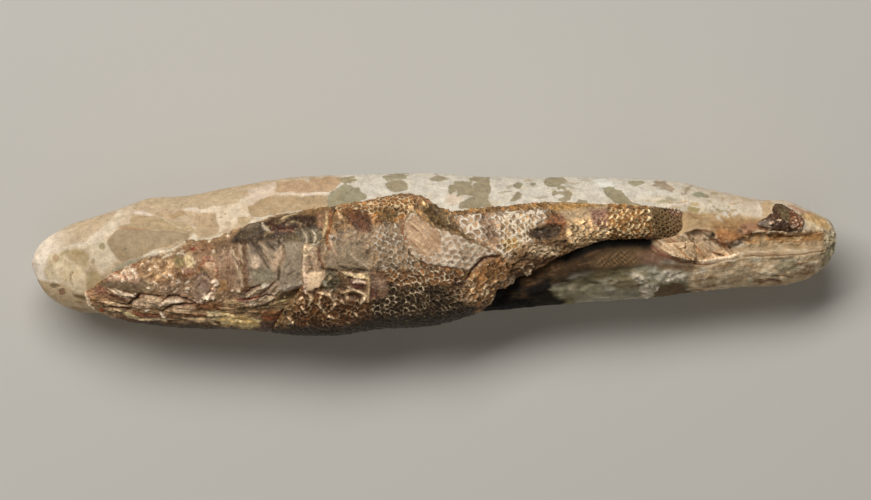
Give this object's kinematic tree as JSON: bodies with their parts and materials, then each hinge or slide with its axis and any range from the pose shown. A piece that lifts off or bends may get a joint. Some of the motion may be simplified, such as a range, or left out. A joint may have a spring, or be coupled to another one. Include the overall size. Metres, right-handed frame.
{
  "type": "fossil fish slab",
  "caption": "Long rounded stone nodule split open on one side to show a scaled fossil fish, lying on its flat underside.",
  "frame": {"origin": "middle of the object's footprint, on the plane that the nodule rests on", "axes": "+X from the fish's snout to its tail, +Y towards the fish's back, +Z out of the bare, scaled side"},
  "size_m": [0.168, 0.034, 0.0281],
  "materials": {
    "stone": "matt pale limestone, ivory with olive-beige blotches, warmer beige at the snout end",
    "scales": "brown fossil scales, slightly glossy, each in a cream ring of stone",
    "fin_rays": "satin cream mineral with fine rays",
    "bone": "dark brown crystalline bone with small bright crystals"
  },
  "bodies": {
    "root": {"matrix": "stone", "fish": "scales", "tail_fin": "fin_rays", "tail_fragment": "bone"}
  },
  "joints": []
}
